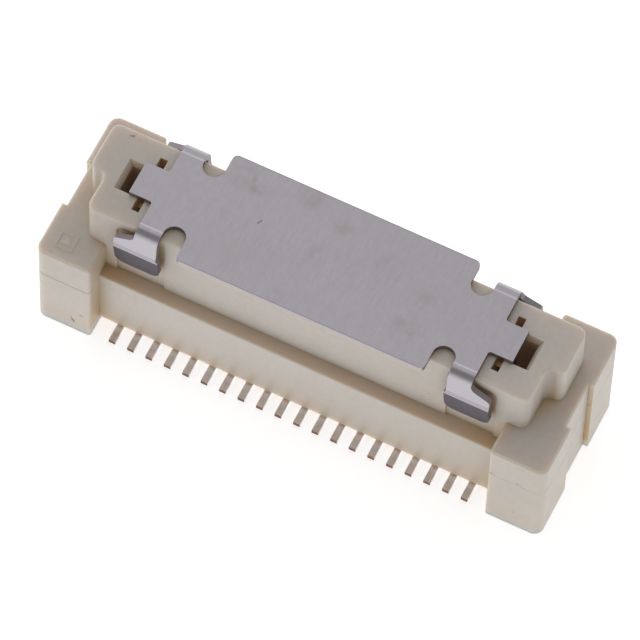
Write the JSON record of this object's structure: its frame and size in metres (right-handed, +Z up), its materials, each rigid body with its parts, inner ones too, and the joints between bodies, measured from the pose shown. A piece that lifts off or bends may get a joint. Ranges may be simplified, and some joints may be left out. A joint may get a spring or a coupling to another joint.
{
  "type": "board-to-board socket",
  "caption": "Fine-pitch board-to-board socket: moulded housing with a keyed slot, bent contacts with solder tails, and a clip-on metal pick-up cover.",
  "frame": {"origin": "on the board plane, under the middle of the housing", "axes": "+X along the contact rows, from contact 01 to contact 20; +Y across the rows, away from the front row; +Z up, the way the cover comes off and the plug comes in"},
  "size_m": [0.0136, 0.0042, 0.0048],
  "materials": {
    "housing_plastic": "moulded, beige, matt",
    "cover_steel": "fine brushed along Y",
    "contact_metal": "plated, satin"
  },
  "bodies": {
    "socket": {"housing": "housing_plastic", "contact_front_01": "contact_metal", "contact_front_02": "contact_metal", "contact_front_03": "contact_metal", "contact_front_04": "contact_metal", "contact_front_05": "contact_metal", "contact_front_06": "contact_metal", "contact_front_07": "contact_metal", "contact_front_08": "contact_metal", "contact_front_09": "contact_metal", "contact_front_10": "contact_metal", "contact_front_11": "contact_metal", "contact_front_12": "contact_metal", "contact_front_13": "contact_metal", "contact_front_14": "contact_metal", "contact_front_15": "contact_metal", "contact_front_16": "contact_metal", "contact_front_17": "contact_metal", "contact_front_18": "contact_metal", "contact_front_19": "contact_metal", "contact_front_20": "contact_metal", "contact_back_01": "contact_metal", "contact_back_02": "contact_metal", "contact_back_03": "contact_metal", "contact_back_04": "contact_metal", "contact_back_05": "contact_metal", "contact_back_06": "contact_metal", "contact_back_07": "contact_metal", "contact_back_08": "contact_metal", "contact_back_09": "contact_metal", "contact_back_10": "contact_metal", "contact_back_11": "contact_metal", "contact_back_12": "contact_metal", "contact_back_13": "contact_metal", "contact_back_14": "contact_metal", "contact_back_15": "contact_metal", "contact_back_16": "contact_metal", "contact_back_17": "contact_metal", "contact_back_18": "contact_metal", "contact_back_19": "contact_metal", "contact_back_20": "contact_metal"},
    "cover": {"pick_up_cover": "cover_steel"}
  },
  "joints": [
    {"name": "cover_lift", "type": "slide", "parent": "socket", "child": "cover", "axis": [0, 0, 1], "range_m": [0, 0.003]}
  ]
}
